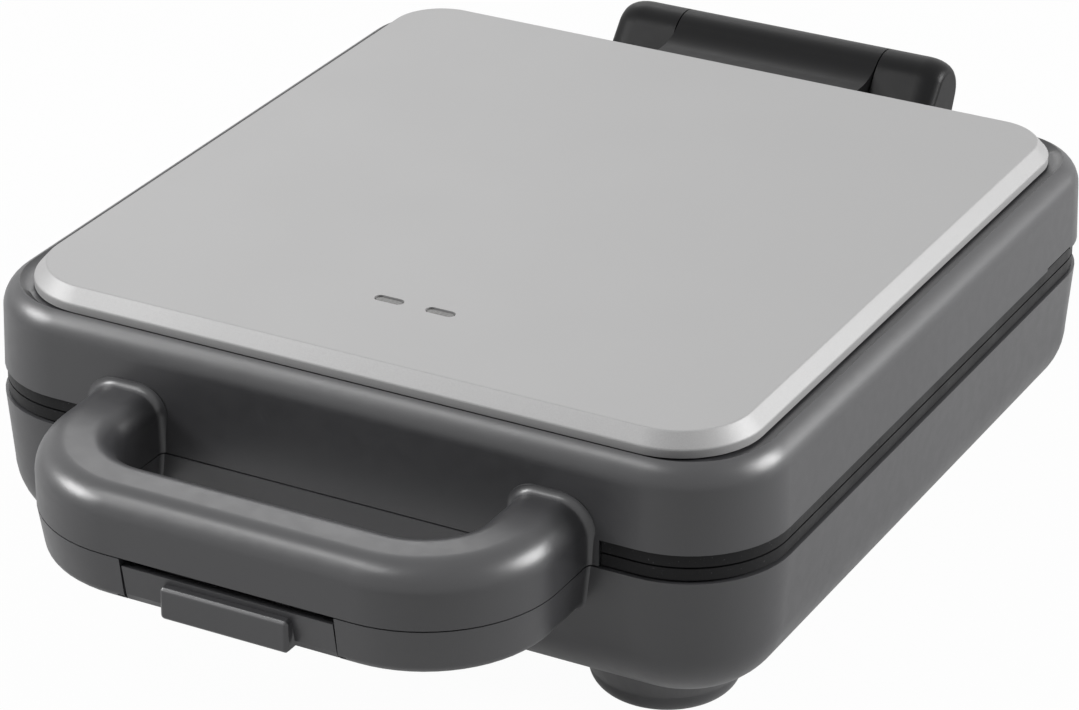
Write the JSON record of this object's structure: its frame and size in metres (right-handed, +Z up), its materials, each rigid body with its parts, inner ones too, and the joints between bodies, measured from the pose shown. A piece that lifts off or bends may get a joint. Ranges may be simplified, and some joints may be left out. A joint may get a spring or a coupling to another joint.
{
  "type": "waffle maker",
  "caption": "Clamshell waffle maker with a silver top panel, charcoal housings, a split U-shaped handle with a sprung pull latch, twin lamps and a rear pin hinge.",
  "frame": {"origin": "on the table plane under the centre of the overall footprint", "axes": "+Z up, handle and latch towards -Y, hinge towards +Y, +X to the right when seen from the handle"},
  "size_m": [0.28, 0.4016, 0.112],
  "materials": {
    "charcoal_plastic": "fine satin grain",
    "black_plastic": "satin",
    "silver_panel": "fine satin",
    "coated_plate": "dark non-stick coating",
    "heating_rod": "heat-tinted steel",
    "galvanised": "zinc-plated sheet",
    "steel": "zinc-plated",
    "fibre": "mineral-fibre felt",
    "rubber": "matte",
    "lens": "frosted",
    "white_plastic": "plain",
    "neon": "clear",
    "brass": "plain",
    "wire_sleeve": "silicone sleeve"
  },
  "bodies": {
    "base": {"lower_housing": "charcoal_plastic", "lower_handle_cover": "charcoal_plastic", "lower_plate": "coated_plate", "lower_element": "heating_rod", "lower_element_clamps": "galvanised", "lower_heat_shield": "galvanised", "lower_insulation": "fibre", "lower_plate_screws": "steel", "base_screws": "steel", "foot_front_left": "charcoal_plastic", "foot_front_right": "charcoal_plastic", "foot_rear_left": "charcoal_plastic", "foot_rear_right": "charcoal_plastic", "foot_pads": "rubber", "foot_screws": "steel", "hinge_bracket_left": "black_plastic", "hinge_bracket_right": "black_plastic", "hinge_bracket_screws": "steel", "hinge_pin": "steel", "cord_bush": "black_plastic", "terminal_block": "white_plastic", "thermal_fuse": "white_plastic", "lower_wiring": "wire_sleeve", "latch_pin": "steel", "latch_spring": "steel"},
    "lid": {"upper_housing": "charcoal_plastic", "upper_handle_cover": "charcoal_plastic", "top_panel": "silver_panel", "power_lens": "lens", "ready_lens": "lens", "lamp_holder": "white_plastic", "neon_lamps": "neon", "upper_plate": "coated_plate", "upper_element": "heating_rod", "upper_element_clamps": "galvanised", "upper_heat_shield": "galvanised", "upper_insulation": "fibre", "upper_plate_screws": "steel", "shield_screws": "steel", "thermostat": "brass", "thermostat_strap": "galvanised", "hinge_barrel": "black_plastic", "hinge_barrel_screws": "steel", "upper_wiring": "wire_sleeve", "latch_catch": "galvanised", "catch_screws": "steel"},
    "latch": {"latch_lever": "charcoal_plastic"}
  },
  "joints": [
    {"name": "lid_hinge", "type": "hinge", "parent": "base", "child": "lid", "pos_m": [0, 0.1888, 0.0953], "axis": [-1, 0, 0], "range_deg": [0, 105], "deforming": ["latch_catch"]},
    {"name": "latch_pivot", "type": "hinge", "parent": "base", "child": "latch", "pos_m": [0, -0.1903, 0.062], "axis": [-1, 0, 0], "range_deg": [0, 15], "stiffness_Nm_per_rad": 0.3, "springref_deg": -11.46, "deforming": ["latch_spring"]}
  ]
}
